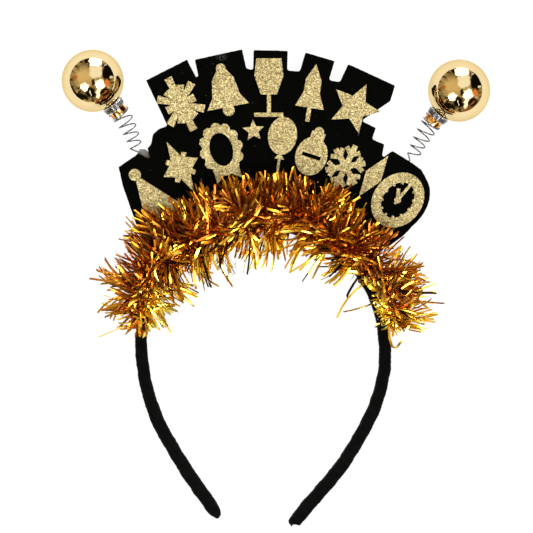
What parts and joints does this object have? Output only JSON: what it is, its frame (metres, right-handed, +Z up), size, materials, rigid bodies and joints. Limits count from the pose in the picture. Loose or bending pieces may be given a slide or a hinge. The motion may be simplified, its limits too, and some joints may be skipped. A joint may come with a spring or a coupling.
{
  "type": "festive headband",
  "caption": "Cloth-wound hoop headband with a felt fan of glitter motifs, a tinsel garland and gold balls on springs.",
  "frame": {"origin": "on the table under the middle of the bounding box, with the headband lying flat on its back", "axes": "+Z up out of the front of the fan, +Y from the tips of the hoop towards the top of the fan, +X to the right seen from the front"},
  "size_m": [0.2136, 0.2366, 0.0321],
  "materials": {
    "band_cloth": "knitted cloth, matte black",
    "felt": "felt, matte black",
    "glitter": "coarse pale gold glitter",
    "tinsel_foil": "metallised amber gold foil strips",
    "ball_gold": "pale gold mirror plating",
    "cap_metal": "bright pressed metal",
    "spring_steel": "drawn steel wire",
    "hot_glue": "cloudy hot glue"
  },
  "bodies": {
    "root": {"headband": "band_cloth", "felt_panel": "felt", "glitter_burst": "glitter", "glitter_bell": "glitter", "glitter_flute": "glitter", "glitter_rocket": "glitter", "glitter_star_large": "glitter", "glitter_hat": "glitter", "glitter_sparkle": "glitter", "glitter_wreath": "glitter", "glitter_star_small": "glitter", "glitter_balloon": "glitter", "glitter_bauble": "glitter", "glitter_snowflake": "glitter", "glitter_diamond": "glitter", "glitter_clock": "glitter", "tinsel_garland": "tinsel_foil", "ball_left": "ball_gold", "cap_left": "cap_metal", "spring_left": "spring_steel", "glue_left": "hot_glue", "ball_right": "ball_gold", "cap_right": "cap_metal", "spring_right": "spring_steel", "glue_right": "hot_glue"}
  },
  "joints": []
}
